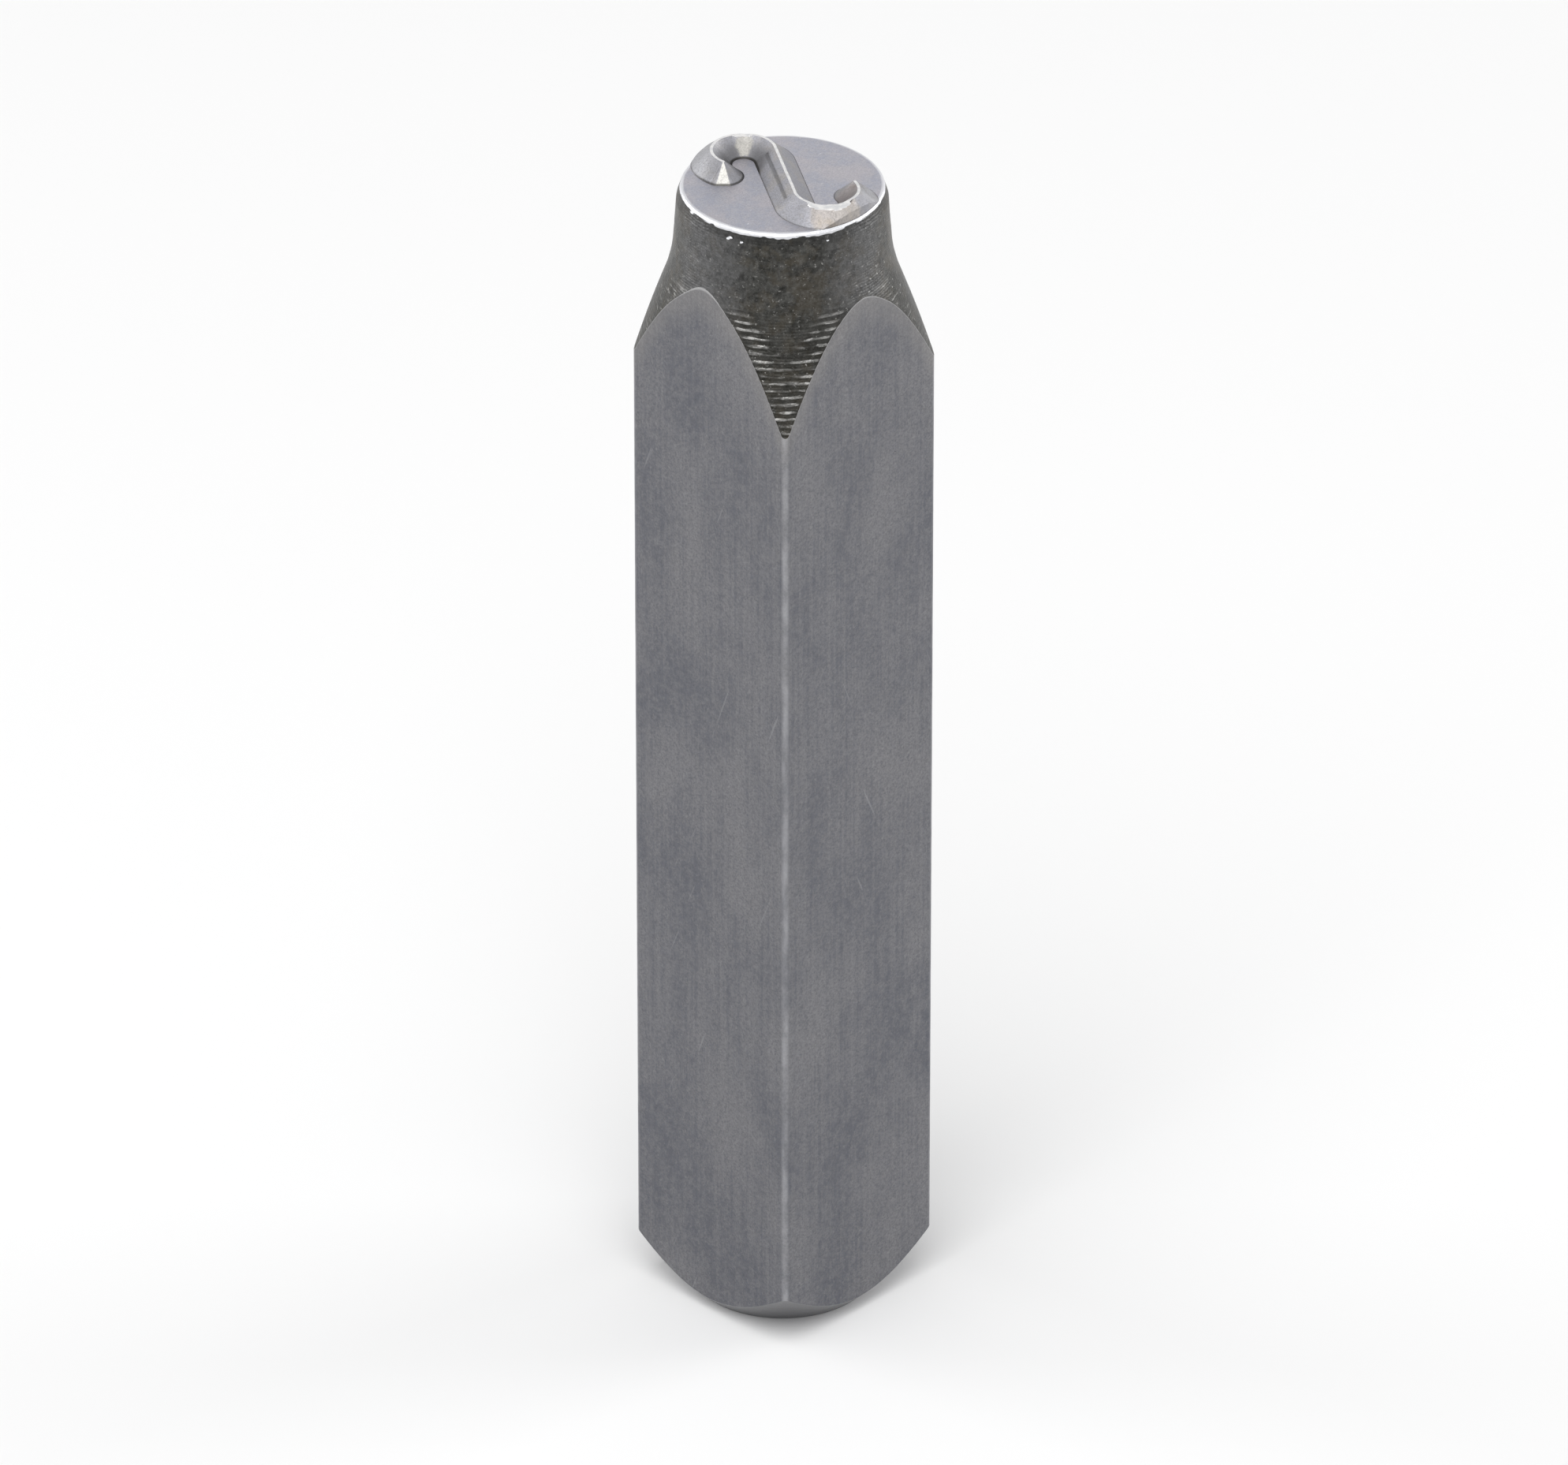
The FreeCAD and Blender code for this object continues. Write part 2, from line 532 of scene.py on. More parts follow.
def letter_ridge():
    """The letter with its foot sunk in the body, its flanks in short steps so that they can waver."""
    flank = [(crest_half + drop * flank_slope, letter_relief - drop) for drop in flank_drops]
    foot_half = crest_half + (letter_relief + letter_root) * flank_slope
    right = flank + [(foot_half, -letter_root)]
    section = right + [(-across, up) for across, up in reversed(right)]
    letter = whole_letter("letter", section, foot_half, crest_half, -letter_root, letter_relief)
    combine(letter, scribed_line(), "DIFFERENCE")
    combine(letter, chip(), "DIFFERENCE")
    return letter


def chip():
    """Cutter for the nick where the worn crest of the lower bowl breaks off, an edge of a cube."""
    place = lower_centre + heading(chip_angle) * (bowl_radius + chip_outside)
    place += Vector((0, 0, letter_relief - chip_sink))
    turn = (math.pi / 4, chip_lean, chip_angle)
    bpy.ops.object.select_all(action="DESELECT")
    bpy.ops.mesh.primitive_cube_add(size=chip_size, location=place, rotation=turn)
    return placed()


def scribed_line():
    """Cutter for the line along the left flank of the spine, where the engraving tool went twice."""
    def on_flank(across):
        return letter_relief - (across - crest_half) / flank_slope

    far = scribe_across + scribe_width
    section = [
        (-scribe_across, on_flank(scribe_across) + scribe_lip),
        (-scribe_across - scribe_steepness, on_flank(scribe_across) - scribe_depth),
        (-far, on_flank(far) + scribe_lip),
    ]
    start = upper_centre + across_spine * bowl_radius + spine_run * scribe_start
    piece = drawn("scribed line", section_at(start, across_spine, section), closed=True)
    along = spine_run * (1 - scribe_start)
    bpy.ops.mesh.extrude_region_move(TRANSFORM_OT_translate={"value": along})
    return closed_up(piece)


def outline_groove():
    """Cutter for the fine line that the engraving tool leaves round the foot of the letter."""
    foot = crest_half + letter_relief * flank_slope
    wide = foot + outline_groove_width
    low = -outline_groove_depth
    high = groove_cutter_top
    section = [(foot, low), (wide, high), (-wide, high), (-foot, low)]
    return whole_letter("groove", section, foot, wide, low, high)


def face_cylinder(radius):
    """Everything on the face and just under it that lies within a radius of the neck's axis."""
    bpy.ops.object.select_all(action="DESELECT")
    bpy.ops.mesh.primitive_cylinder_add(
        vertices=turns_round, radius=radius, depth=4 * letter_relief, location=(neck_x, neck_y, face_level)
    )
    return placed()


def worn_level(place):
    """How high the crest still stands where blows have worn it flat."""
    level = overall_length
    for centre, middle, half_length, share in worn_stretches:
        arm = Vector((place.x - centre.x, place.y - centre.y, 0))
        turn = abs((math.atan2(arm.y, arm.x) - middle + math.pi) % math.tau - math.pi)
        if abs(arm.length - bowl_radius) < crest_reach:
            worn = 1 - smooth_step(half_length - wear_fade, half_length, turn)
            level -= worn * share * crest_wear * (wear_mean + waves(place, wear_waves))
    return level


def waver(letter):
    """Leaves the letter as uneven as hand dressing and use leave it."""
    near, far = sway_flank_depths
    for vertex in letter.data.vertices:
        place = vertex.co.copy()
        if place.z < face_level + waver_start:
            continue
        on_flank = 1 - smooth_step(overall_length - far, overall_length - near, place.z)
        sway_x = noise.noise(place * sway_waves)
        sway_y = noise.noise(place * sway_waves + sway_other_place)
        vertex.co += Vector((sway_x, sway_y, 0)) * (sway_crest + sway_flank * on_flank)
        sag = crest_sag * (1 + noise.noise(place * sag_waves))
        vertex.co.z = min(vertex.co.z - sag, worn_level(place))


def build_punch():
    blank = turned_blank()
    cut_tool_marks(blank)
    roll_rim(blank)
    add_flakes(blank)

    # The rim trims the groove and the letter where they would reach past the face.
    groove = outline_groove()
    combine(groove, face_cylinder(face_radius - rim_radius * groove_rim_share), "INTERSECT")
    combine(blank, groove, "DIFFERENCE")

    letter = letter_ridge()
    waver(letter)
    combine(letter, face_cylinder(face_radius - rim_radius * letter_rim_share), "INTERSECT")
    combine(blank, letter, "UNION")

    punch = square_bar()
    combine(punch, blank, "INTERSECT")
    return punch


punch = build_punch()
punch.scale = (METRE, METRE, METRE)
pick(punch)
bpy.ops.object.transform_apply(location=False, rotation=False, scale=True)


# Finishes

class Signal:
    """A socket of a material, so that a finish can be written as a sum of masks."""

    def __init__(self, finish, socket):
        self.finish = finish
        self.socket = socket

    def __add__(self, other):
        return self.finish.math("ADD", self, other)

    def __sub__(self, other):
        return self.finish.math("SUBTRACT", self, other)

    def __rsub__(self, other):
        return self.finish.math("SUBTRACT", other, self)

    def __mul__(self, other):
        return self.finish.math("MULTIPLY", self, other)

    def __truediv__(self, other):
        return self.finish.math("DIVIDE", self, other)

    __radd__ = __add__
    __rmul__ = __mul__


class Finish:
    """One material. Its places are in millimetres, measured on the punch."""

    def __init__(self, name):
        self.material = bpy.data.materials.new(name)
        self.material.use_nodes = True
        self.tree = self.material.node_tree
        self.tree.nodes.clear()
        metres = self.node("ShaderNodeTexCoord", {}, {}, "Object")
        scaling = {"Vector": metres, "Scale": 1 / METRE}
        self.place = self.node("ShaderNodeVectorMath", {"operation": "SCALE"}, scaling)
        split = self.node("ShaderNodeSeparateXYZ", {}, {"Vector": self.place}, None)
        self.x = Signal(self, split.outputs["X"])
        self.y = Signal(self, split.outputs["Y"])
        self.z = Signal(self, split.outputs["Z"])

    def node(self, kind, settings, sockets, output=0):
        """Adds a node: its settings first, then the values or links of its sockets."""
        node = self.tree.nodes.new(kind)
        for name, value in settings.items():
            setattr(node, name, value)
        for name, value in sockets.items():
            socket = node.inputs[name]
            if isinstance(value, Signal):
                self.tree.links.new(value.socket, socket)
            else:
                socket.default_value = value
        return node if output is None else Signal(self, node.outputs[output])

    def math(self, operation, first, second=0.0):
        return self.node("ShaderNodeMath", {"operation": operation}, {0: first, 1: second})

    def larger(self, first, second):
        return self.math("MAXIMUM", first, second)

    def size_of(self, value):
        return self.math("ABSOLUTE", value)

    def clamp(self, value):
        return self.node("ShaderNodeClamp", {}, {"Value": value})

    def ramp(self, value, low, high):
        """0 at low, 1 at high, and smooth between them."""
        return self.node(
            "ShaderNodeMapRange", {"interpolation_type": "SMOOTHSTEP"},
            {"Value": value, "From Min": low, "From Max": high},
        )

    def stretched(self, x, y, z):
        return self.node("ShaderNodeVectorMath", {"operation": "MULTIPLY"}, {0: self.place, 1: (x, y, z)})

    def vector(self, x, y=0.0, z=0.0):
        return self.node("ShaderNodeCombineXYZ", {}, {"X": x, "Y": y, "Z": z})

    def cloud(self, grain, detail=2.0, place=None, roughness=0.5):
        """Noise with lumps of about grain millimetres, from 0 to 1."""
        return self.node(
            "ShaderNodeTexNoise", {},
            {"Vector": place or self.place, "Scale": 1 / grain, "Detail": detail, "Roughness": roughness},
        )

    def spots(self, low, high, grain, detail=2.0, place=None, roughness=0.5):
        """0 where a cloud is thinner than low, 1 where it is denser than high."""
        return self.ramp(self.cloud(grain, detail, place, roughness), low, high)

    def mix(self, share, colour_a, colour_b):
        return self.node(
            "ShaderNodeMix", {"data_type": "RGBA"},
            {"Factor": share, 6: colour_a, 7: colour_b}, 2,
        )

    def bump(self, height, depth, normal=None):
        """Relief of the given depth in millimetres."""
        sockets = {"Height": height, "Distance": depth * METRE, "Strength": 1.0}
        if normal:
            sockets["Normal"] = normal
        return self.node("ShaderNodeBump", {}, sockets, "Normal")

    def surface(self, sockets):
        """Ends the material in one plain shader with these sockets."""
        shader = self.node("ShaderNodeBsdfPrincipled", {}, sockets, None)
        output = self.node("ShaderNodeOutputMaterial", {}, {}, None)
        self.tree.links.new(shader.outputs["BSDF"], output.inputs["Surface"])
        return self.material

    def steel(self, colour, roughness, normal):
        sockets = {"Base Color": colour, "Roughness": roughness, "Metallic": 1.0, "Normal": normal}
        return self.surface(sockets)

    def distance_to(self, centre):
        """Distance in plan from a place on the punch."""
        arm_x = self.x - centre.x
        arm_y = self.y - centre.y
        return self.math("SQRT", arm_x * arm_x + arm_y * arm_y)

    def off_axis(self):
        """Distance from the axis that the neck was turned about."""
        return self.distance_to(Vector((neck_x, neck_y, 0)))

    def close_to(self, centre, reach):
        """1 round a place on the punch, fading to 0 where the distance from it is the reach."""
        whole = reach * 0.4
        return self.ramp(self.distance_to(centre), reach, whole)

    def off_middle(self):
        """How far a place lies from the bar's middle, towards the nearest flat."""
        return self.larger(self.size_of(self.x), self.size_of(self.y))

    def inside_flats(self):
        """How far a place lies inside the nearest flat of the bar, in millimetres."""
        return half_bar - self.off_middle()

    def beside_flats(self):
        """1 where the turned skin runs out into the flats, 0 from about a millimetre inside them."""
        near, far = marks_dull
        return self.ramp(self.inside_flats(), far, near)

    def marked(self):
        """1 where the tool marks are deep, 0 above them and in the quiet middle at their top."""
        lift = quiet_middle_lag * self.ramp(self.inside_flats(), *quiet_middle)
        end = marks_fade_out - bright_end_lag
        whole = marks_fade_in - bright_whole_lag
        return self.ramp(self.z + lift, end, whole)

    def facet_of(self, tip):
        """1 on the flat facet below a tip, on the side that the view comes from."""
        arm_x = self.x - tip.x
        arm_y = self.y - tip.y
        out = arm_x * front.x + arm_y * front.y
        aside = self.size_of(arm_x * front.y - arm_y * front.x)
        spread = aside / self.larger(out, 0.02)
        edge = math.tan(facet_half_angle)
        between_edges = self.ramp(spread, edge * 1.1, edge * 0.9)
        return between_edges * self.ramp(self.distance_to(tip), facet_reach, facet_reach - 0.1)

    def under_turning(self):
        """How far the surface lies inside the hollow and the cone, in millimetres."""
        drop = hollow_centre_level - self.z
        rise = self.math("SQRT", self.larger(hollow_radius ** 2 - drop * drop, 0))
        hollow = hollow_centre_radius - rise
        cone = hollow_foot_radius + (hollow_foot_level - self.z) * cone_tangent
        below = self.math("LESS_THAN", self.z, hollow_foot_level)
        turned = cone * below + hollow * (1 - below)
        return turned - self.off_axis()


def colour(red, green, blue):
    return (red, green, blue, 1.0)


def beside_bowl(centre, degrees, outside):
    """A place at an angle about a bowl's centre, so far outside the line of its crest."""
    return centre + heading(math.radians(degrees)) * (bowl_radius + outside)


# The rubbed burr's bright steel, which also carries a painted highlight along the rim.
burr_bright_and_highlight = colour(0.68, 0.685, 0.71)


def ground_face():
    """The turned face, ground to a pale grey with faint blue and pink patches."""
    blue_grey = colour(0.385, 0.395, 0.46)
    pink_grey = colour(0.46, 0.44, 0.475)
    pale_grey = colour(0.5, 0.485, 0.5)
    dull_grey = colour(0.28, 0.28, 0.31)
    fleck_grey = colour(0.7, 0.7, 0.72)
    steel = Finish("ground face")
    patches = steel.spots(0.38, 0.64, 1.6, 4, roughness=0.6)
    blotch = steel.spots(0.38, 0.62, 0.3, 3, roughness=0.7)
    fleck = steel.spots(0.72, 0.78, 0.2, 1, steel.stretched(0.5, 1.2, 1))
    grain = steel.cloud(0.09, 3, roughness=0.7)
    grey = steel.mix(patches, blue_grey, pink_grey)
    grey = steel.mix(blotch * 0.45, grey, pale_grey)
    grey = steel.mix(steel.ramp(grain, 0.35, 0.7) * 0.55, grey, dull_grey)
    grey = steel.mix(fleck * 0.5, grey, fleck_grey)

    # A bright ring runs round it, where the burr has been rubbed; it is also a painted highlight along the
    # rim.
    rubbed_and_highlit = steel.ramp(steel.off_axis(), face_edge - 0.09, face_edge - 0.03)
    grey = steel.mix(rubbed_and_highlit * (0.5 + 0.4 * patches), grey, burr_bright_and_highlight)
    return steel.steel(grey, 0.36 + 0.14 * grain, steel.bump(grain, 0.012))


def upper_bowl_tones(steel, grey, stain, inside):
    """Painted shade inside the upper bowl and round its terminal, but for a scar, and a painted highlight
    on the terminal's facet.
    """
    shade = colour(0.125, 0.124, 0.13)
    scar_grey = colour(0.32, 0.31, 0.285)
    facet_highlight_grey = colour(0.5, 0.49, 0.46)
    # Painted shade in the bowl's hollow and round its terminal.
    shaded = steel.larger(inside * 0.75, steel.close_to(upper_tip, 1.5) * 0.4)
    grey = steel.mix(shaded, grey, shade)
    from_scar = steel.distance_to(beside_bowl(upper_centre, 42, -0.55)) + steel.cloud(0.3, 2) * 0.5
    grey = steel.mix(steel.ramp(from_scar, 0.85, 0.65) * 0.8, grey, scar_grey)
    # Painted highlight on the terminal's facet, which faces the light.
    return steel.mix(steel.facet_of(upper_tip) * (0.85 + 0.15 * stain), grey, facet_highlight_grey)


def lower_bowl_tones(steel, grey, stain):
    """Rust inside the lower bowl's hook and in spots outside it. Its front is pale, rubbed and brightened
    by a painted highlight, most where it faces away from the light.
    """
    rust_brown = colour(0.16, 0.125, 0.11)
    lit_cream = colour(0.3, 0.268, 0.238)
    pale_lit_cream = colour(0.45, 0.41, 0.37)
    hook = steel.close_to(beside_bowl(lower_centre, -45, -0.75), 1.1)
    spots = steel.close_to(beside_bowl(lower_centre, -20, 0.6), 1.3)
    rust = hook * 0.6 + spots * 0.5 * steel.spots(0.48, 0.6, 0.45, 3, roughness=0.7)
    grey = steel.mix(steel.clamp(rust), grey, rust_brown)
    # Painted highlight on the rubbed front, lightened more where the flank turns away from the light.
    lightened_turned_away = steel.close_to(beside_bowl(lower_centre, -98, 0.7), 1.5)
    from_front = steel.distance_to(beside_bowl(lower_centre, -120, 0.5))
    rubbed_and_highlit = steel.ramp(from_front + steel.cloud(0.5, 3) * 0.5, 1.95, 1.6)
    return steel.mix(rubbed_and_highlit * (0.65 + 0.35 * stain), grey, steel.mix(lightened_turned_away, lit_cream, pale_lit_cream))


def letter_foot_shade(steel, inside):
    """Painted shade in the scribed line and along the foot, most of it inside the upper bowl."""
    arm_x = steel.x - letter_x
    arm_y = steel.y - letter_y
    off_spine = arm_x * across_spine.x + arm_y * across_spine.y
    down_spine = arm_x * across_spine.y - arm_y * across_spine.x
    reach = spine_run.length / 2
    # Painted shade in the scribed line.
    line = steel.ramp(steel.size_of(off_spine + (scribe_across + scribe_width / 2)), 0.15, 0.04)
    line = line * steel.ramp(steel.size_of(down_spine), reach * 1.04, reach * 0.92)
    # Painted shade along the foot, widest inside the upper bowl and round its terminal.
    thick = steel.larger(inside, steel.close_to(upper_tip, 1.9))
    foot = steel.ramp(steel.z - thick * 0.06, face_level + 0.07, face_level)
    return steel.larger(foot * (0.55 + 0.4 * thick), line * 0.42)


def letter_flank():
    """The letter's flanks, which differ from place to place."""
    blue_grey = colour(0.295, 0.295, 0.32)
    warm_grey = colour(0.35, 0.33, 0.31)
    pale_grey = colour(0.42, 0.42, 0.44)
    dull_grey = colour(0.15, 0.148, 0.145)
    shade_black = colour(0.04, 0.038, 0.036)
    steel = Finish("letter flank")
    grain = steel.cloud(0.11, 3, roughness=0.7)
    stain = steel.spots(0.45, 0.65, 1.0)
    inside = steel.ramp(steel.distance_to(upper_centre), bowl_radius - 0.05, bowl_radius - 0.8)
    grey = steel.mix(stain * 0.5, blue_grey, warm_grey)

    # Painted light: on the outer side of both bowls the flank is lightened to be as pale as the face.
    lit_outside_upper = steel.close_to(beside_bowl(upper_centre, 140, 1), 2.6)
    lit_outside_lower = steel.close_to(beside_bowl(lower_centre, -30, 0.7), 1.7)
    grey = steel.mix(steel.larger(lit_outside_upper, lit_outside_lower) * 0.75, grey, pale_grey)

    grey = upper_bowl_tones(steel, grey, stain, inside)
    grey = lower_bowl_tones(steel, grey, stain)
    grey = steel.mix(steel.ramp(grain, 0.4, 0.7) * 0.4, grey, dull_grey)
    # Painted shade along the letter's foot and in the scribed line.
    grey = steel.mix(letter_foot_shade(steel, inside), grey, shade_black)
    return steel.steel(grey, 0.38 + 0.2 * grain, steel.bump(grain, 0.025))


def letter_crest():
    """The crest, which blows and hands keep bright, and which also carries a painted highlight."""
    bright = colour(0.66, 0.66, 0.67)
    brightest = colour(0.8, 0.79, 0.78)
    steel = Finish("letter crest")
    grain = steel.cloud(0.3, 2)
    # Painted highlight, over the polish of the crest.
    polish_and_highlight = steel.mix(steel.ramp(grain, 0.35, 0.65), bright, brightest)
    return steel.steel(polish_and_highlight, 0.3 + 0.15 * grain, steel.bump(grain, 0.004))


def neck_skin(steel):
    """The dark mottled skin of the neck, lightened above each of the flats as a painted sheen."""
    black = colour(0.026, 0.026, 0.024)
    dark_grey = colour(0.062, 0.062, 0.058)
    brown = colour(0.078, 0.067, 0.05)
    mottle_grey = colour(0.17, 0.168, 0.162)
    sheen_grey = colour(0.155, 0.155, 0.16)
    patches = steel.spots(0.36, 0.66, 0.9, 5, roughness=0.75)
    mottle = steel.spots(0.4, 0.68, 0.3, 5, roughness=0.85)
    browned = steel.spots(0.46, 0.62, 1.3, 4, roughness=0.6)
    skin = steel.mix(patches, black, dark_grey)
    skin = steel.mix(browned * 0.5, skin, brown)
    skin = steel.mix(mottle * 0.4, skin, mottle_grey)
    # Painted sheen: the skin is lighter above each flat, at the neck's sides.
    lit_above_flats = steel.ramp(steel.off_middle() / steel.off_axis(), 0.84, 0.99)
    return steel.mix(lit_above_flats * (0.3 + 0.25 * patches + 0.35 * mottle), skin, sheen_grey)


def neck_marks(steel, skin):
    """Painted highlights on the ridges between the marks, bright beside the flats; the marked part darker,
    with painted shade in the mark bottoms; bright flecks and scratches, and painted glints.
    """
    shade_black = colour(0.022, 0.021, 0.018)
    ridge_highlight = colour(0.46, 0.455, 0.445)
    fleck_grey = colour(0.4, 0.395, 0.38)
    marks = steel.ramp(steel.z, marks_fade_out, marks_fade_in)
    ridge = steel.ramp(steel.under_turning(), mark_depth * 0.52, mark_depth * 0.3)
    streak = steel.spots(0.42, 0.6, 1.0, 4, steel.stretched(1.8, 1.8, 5), roughness=0.65)
    smear = steel.spots(0.46, 0.62, 0.5, 3, roughness=0.7)
    crisp = steel.marked() * (1 - 0.55 * smear)
    bright = steel.beside_flats() * (0.3 + 0.7 * streak)
    # Darker over the marked part, with painted shade in the bottoms of the marks.
    skin = steel.mix(marks * 0.28 + crisp * 0.27 * (1 - ridge), skin, shade_black)
    # Painted highlights on the ridges, brightest beside the flats.
    skin = steel.mix(crisp * ridge * (0.03 + 0.9 * bright), skin, ridge_highlight)
    # Painted glints, mixed below with real flecks and scratches.
    glint = steel.spots(0.65, 0.72, 0.24, 3, roughness=0.6)
    fleck = steel.spots(0.62, 0.7, 0.42, 4, steel.stretched(1, 1, 1.5), roughness=0.7)
    scratch = steel.spots(0.73, 0.8, 1.0, 1, steel.stretched(2.2, 2.2, 9))
    return steel.mix(steel.clamp(glint + scratch * 0.4 + fleck * 0.7) * 0.6, skin, fleck_grey)


def neck_burr(steel, skin):
    """Painted shade under the burr, and the burr itself, which stands out from the shoulder and is bright
    as rubbed steel and with a painted highlight.
    """
    shadow_black = colour(0.03, 0.03, 0.03)
    # Painted shade in a band under the burr.
    under_burr_shade = steel.ramp(steel.z, face_level - 0.95, face_level - 0.5)
    skin = steel.mix(under_burr_shade * 0.45, skin, shadow_black)
    # The burr's rubbed brightness, with a painted highlight where it stands out.
    shoulder = face_radius + (face_level - steel.z) * ((shoulder_radius - face_radius) / shoulder_depth)
    burr = steel.ramp(steel.off_axis() - shoulder, 0.004, 0.022)
    burr = burr * steel.ramp(steel.z, shoulder_level, shoulder_level + 0.05)
    # Painted highlight along the rounded rim, over the rubbed burr.
    edge = steel.ramp(steel.z + steel.cloud(0.4, 1) * 0.08, face_level - 0.15, face_level - 0.08)
    return steel.mix(steel.larger(burr, edge), skin, burr_bright_and_highlight)


def turned_neck():
    """The turned neck, with a fine feed over the modelled marks."""
    fine_feed_pitch = 0.17
    steel = Finish("turned neck")
    skin = neck_burr(steel, neck_marks(steel, neck_skin(steel)))
    grain = steel.cloud(0.1, 3, roughness=0.7)
    pits = steel.cloud(0.3, 3)
    fine_feed = steel.math("SINE", (steel.z + steel.cloud(1.5, 2) * 0.25) * (math.tau / fine_feed_pitch))
    normal = steel.bump(fine_feed, 0.004, steel.bump(grain, 0.018, steel.bump(pits, 0.04)))
    return steel.steel(skin, 0.3 + 0.2 * grain, normal)


def rolled_skin(steel, draw_lines, patches, grain):
    """Tone of the flats: drawn lengthwise, patched, blotched and specked."""
    blue_grey = colour(0.138, 0.143, 0.164)
    pale_grey = colour(0.228, 0.227, 0.238)
    blotch_grey = colour(0.24, 0.237, 0.243)
    dull_grey = colour(0.105, 0.107, 0.12)
    speck_grey = colour(0.32, 0.318, 0.32)
    blotch = steel.spots(0.35, 0.65, 0.55, 3, roughness=0.65)
    speck = steel.spots(0.56, 0.68, 0.22, 4, roughness=0.8)
    grey = steel.mix(steel.ramp(0.3 * draw_lines + 0.7 * patches, 0.38, 0.62), blue_grey, pale_grey)
    grey = steel.mix(blotch * 0.45, grey, blotch_grey)
    grey = steel.mix(steel.ramp(grain, 0.35, 0.7) * 0.8, grey, dull_grey)
    return steel.mix(speck * 0.3, grey, speck_grey)


def flat_wear(steel, grey):
    """Painted highlights on the corners, where they are also rubbed, and along the arches; a few pits, and
    a few fine scratches that run aslant.
    """
    halo_grey = colour(0.37, 0.35, 0.32)
    corner_highlight_and_wear = colour(0.5, 0.5, 0.52)
    arch_highlight = colour(0.5, 0.5, 0.5)
    pit_black = colour(0.03, 0.03, 0.03)
    scratch_grey = colour(0.36, 0.36, 0.37)
    halo = steel.ramp(steel.under_turning(), 0.9, 0.05)
    grey = steel.mix(halo * 0.22, grey, halo_grey)
    # Painted highlight along the rounded corners, partly rubbed bright.
    least_out = steel.math("MINIMUM", steel.size_of(steel.x), steel.size_of(steel.y))
    corner = steel.ramp(least_out, half_bar - bar_corner_radius, half_bar - 0.15)
    rubbed_and_highlit = steel.spots(0.35, 0.65, 1.0, 3, steel.stretched(1, 1, 0.4))
    grey = steel.mix(corner * (0.15 + 0.35 * rubbed_and_highlit), grey, corner_highlight_and_wear)
    # Painted highlight along the arches.
    arch = steel.ramp(steel.under_turning(), 0.05, 0.015)
    grey = steel.mix(arch * 0.7, grey, arch_highlight)
    pit = steel.spots(0.79, 0.82, 0.33, 2)
    grey = steel.mix(pit * 0.7, grey, pit_black)
    aslant = steel.vector(
        (steel.x + steel.y) * 3 + steel.z * 1.2, steel.z * 0.15, (steel.x - steel.y) * 0.2
    )
    scratch = steel.spots(0.745, 0.79, 1.0, 1, aslant)
    return steel.mix(scratch * 0.3, grey, scratch_grey)


def bar_flat():
    """The bar's four flats and its rounded corners."""
    steel = Finish("bar flat")
    draw_lines = steel.cloud(1.0, 3, steel.stretched(4, 4, 0.07))
    patches = steel.cloud(1.0, 5, steel.stretched(0.15, 0.15, 0.09), roughness=0.6)
    grain = steel.cloud(0.14, 5, roughness=0.85)
    grey = flat_wear(steel, rolled_skin(steel, draw_lines, patches, grain))
    normal = steel.bump(draw_lines, 0.008, steel.bump(grain, 0.016))
    return steel.steel(grey, 0.36 + 0.14 * grain + 0.08 * patches, normal)


def struck_end():
    """The struck flat and its chamfer, with the fine rings of a facing cut."""
    dark_grey = colour(0.2, 0.2, 0.21)
    light_grey = colour(0.3, 0.3, 0.31)
    rings_per_millimetre = 9
    steel = Finish("struck end")
    rings = steel.cloud(1.0, 2, steel.vector(steel.off_axis() * rings_per_millimetre))
    grain = steel.cloud(0.12, 3)
    grey = steel.mix(rings, dark_grey, light_grey)
    normal = steel.bump(rings, 0.02, steel.bump(grain, 0.006))
    return steel.steel(grey, 0.34 + 0.14 * grain, normal)


def on_bar(centre, normal):
    """Whether a face lies on the bar's flats or on its rounded corners."""
    tolerance = 0.001
    chord_share = 0.985
    out_x = abs(centre.x)
    out_y = abs(centre.y)
    inset = half_bar - bar_corner_radius
    on_flat = max(out_x, out_y) > half_bar - tolerance
    beyond_inset = math.hypot(out_x - inset, out_y - inset)
    on_corner = min(out_x, out_y) > inset and beyond_inset > bar_corner_radius * chord_share
    return abs(normal.z) < tolerance and (on_flat or on_corner)


def region(centre, normal):
    """Which finish a face of the punch has, from its place and the way it looks, in millimetres."""
    looks_down = normal.z < -0.5
    nearly_level = normal.z > 0.8
    quite_level = normal.z > 0.99
    below_face = face_level - centre.z
    below_top = overall_length - centre.z
    if on_bar(centre, normal):
        return "bar flat"
    if looks_down:
        return "struck end"
    if below_face < -0.002:
        return "letter crest" if nearly_level and below_top < crest_wear + 0.12 else "letter flank"
    if math.hypot(centre.x - neck_x, centre.y - neck_y) < face_edge:
        return "ground face" if quite_level and below_face < 0.01 else "letter flank"
    return "turned neck"


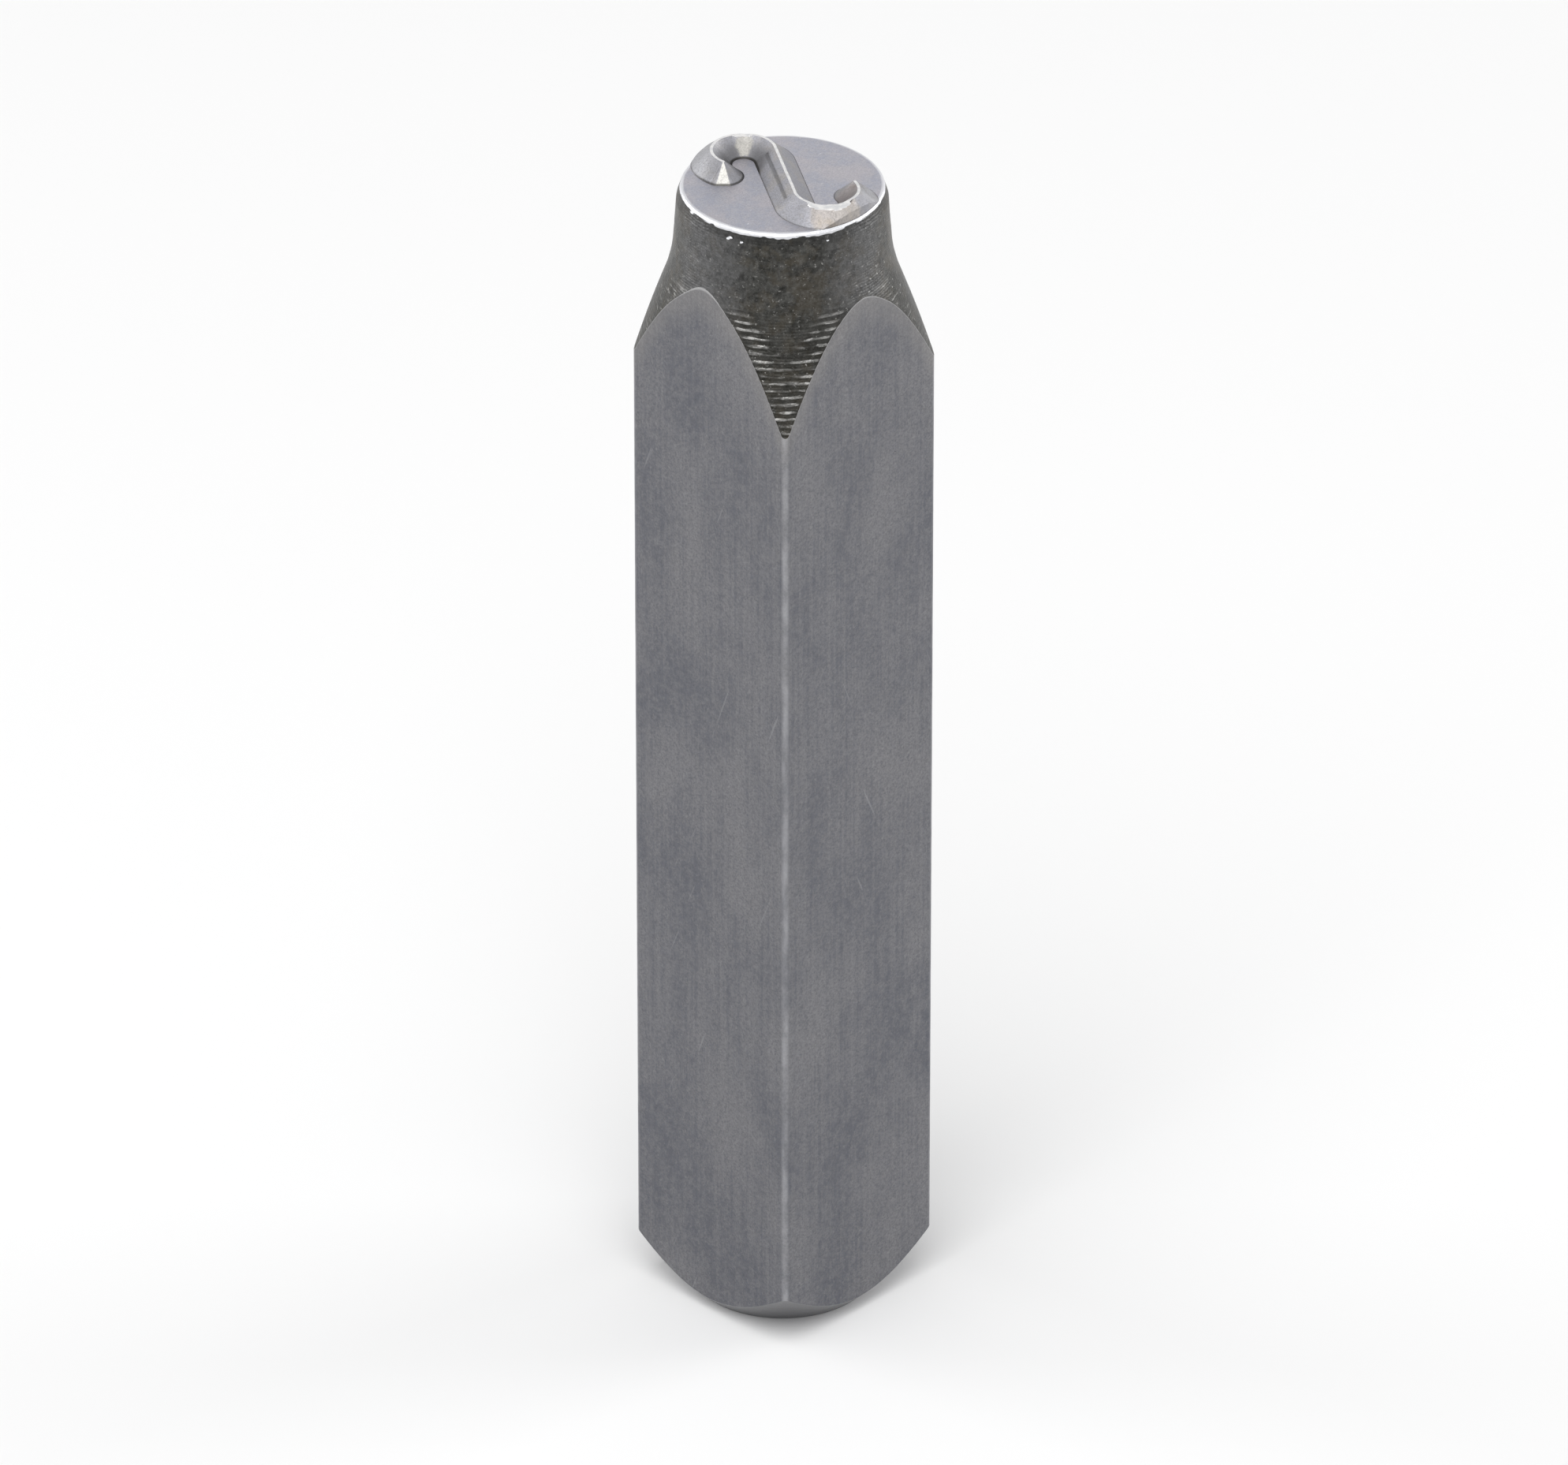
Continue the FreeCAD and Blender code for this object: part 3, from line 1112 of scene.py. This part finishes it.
def dress(piece):
    """Gives each face its finish, shades the round parts smooth and keeps the borders crisp."""
    finishes = [ground_face(), letter_flank(), letter_crest(), turned_neck(), bar_flat(), struck_end()]
    slots = {finish.name: index for index, finish in enumerate(finishes)}
    piece.data.materials.clear()
    for finish in finishes:
        piece.data.materials.append(finish)
    for face in piece.data.polygons:
        face.material_index = slots[region(face.center / METRE, face.normal)]

    editing(piece)
    bpy.ops.mesh.select_all(action="SELECT")
    bpy.ops.mesh.remove_doubles(threshold=weld_gap * METRE)
    bpy.ops.object.mode_set(mode="OBJECT")
    bpy.ops.object.shade_smooth_by_angle(angle=crease_angle)
    for index in slots.values():
        editing(piece)
        bpy.ops.mesh.select_mode(type="FACE")
        bpy.ops.mesh.select_all(action="DESELECT")
        piece.active_material_index = index
        bpy.ops.object.material_slot_select()
        bpy.ops.mesh.region_to_loop()
        bpy.ops.mesh.mark_sharp()
        bpy.ops.object.mode_set(mode="OBJECT")
    apply_modifier(piece, "WEIGHTED_NORMAL", keep_sharp=True)


dress(punch)
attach(punch, "root")
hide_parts("letter_punch")


# Studio, whose lengths are in metres

def floor():
    bpy.ops.object.select_all(action="DESELECT")
    bpy.ops.mesh.primitive_plane_add(size=6.0)
    piece = bpy.context.object
    piece.name = "floor"
    paper = Finish("pale paper")
    piece.data.materials.append(paper.surface({"Base Color": colour(0.9, 0.9, 0.9), "Roughness": 0.8}))


def softbox(name, azimuth, elevation, distance, size, power):
    """Square lamp that looks at the punch. Azimuth is measured from X towards Y, in degrees."""
    turn = math.radians(azimuth)
    rise = math.radians(elevation)
    aim = Vector((0, 0, overall_length * METRE * 0.6))
    away = Vector((math.cos(rise) * math.cos(turn), math.cos(rise) * math.sin(turn), math.sin(rise)))
    lamp = bpy.data.lights.new(name, "AREA")
    lamp.shape = "SQUARE"
    lamp.size = size
    lamp.energy = power
    holder = bpy.data.objects.new(name, lamp)
    bpy.context.collection.objects.link(holder)
    holder.location = aim + away * distance
    holder.rotation_euler = away.to_track_quat("Z", "Y").to_euler()


def room():
    """White to the eye and in the steel, while it lights the floor more dimly."""
    world = bpy.data.worlds.new("studio")
    world.use_nodes = True
    tree = world.node_tree
    background = tree.nodes["Background"]
    background.inputs["Color"].default_value = colour(1, 1, 1)
    path = tree.nodes.new("ShaderNodeLightPath")
    seen = path.outputs["Is Camera Ray"]
    for name in ("Is Glossy Ray", "Is Transmission Ray"):
        either = tree.nodes.new("ShaderNodeMath")
        either.operation = "MAXIMUM"
        tree.links.new(seen, either.inputs[0])
        tree.links.new(path.outputs[name], either.inputs[1])
        seen = either.outputs[0]
    level = tree.nodes.new("ShaderNodeMapRange")
    level.inputs["To Min"].default_value = room_light
    level.inputs["To Max"].default_value = 1.0
    tree.links.new(seen, level.inputs["Value"])
    tree.links.new(level.outputs["Result"], background.inputs["Strength"])
    bpy.context.scene.world = world


def studio():
    facing = 180 + math.degrees(view_heading)
    floor()
    softbox("overhead", facing - 15, 63, 0.9, 0.7, 5.2)
    softbox("left side", facing - 108, 13, 0.9, 0.5, 2.6)
    softbox("right side", facing + 108, 13, 0.9, 0.5, 3.2)
    room()


def camera():
    """Stands where the photograph was taken from, and looks at the middle of the punch."""
    away = front * math.cos(view_elevation) + Vector((0, 0, math.sin(view_elevation)))
    stand = Vector((neck_x, neck_y, face_level)) + away * view_distance
    aim = Vector((0, 0, overall_length * 0.5))
    data = bpy.data.cameras.new("camera")
    data.lens = lens
    data.clip_start = 0.01
    data.clip_end = 20
    holder = bpy.data.objects.new("camera", data)
    bpy.context.collection.objects.link(holder)
    holder.location = stand * METRE
    holder.rotation_euler = (stand - aim).to_track_quat("Z", "Y").to_euler()
    bpy.context.scene.camera = holder


studio()
camera()
bpy.context.scene.view_settings.view_transform = "Standard"
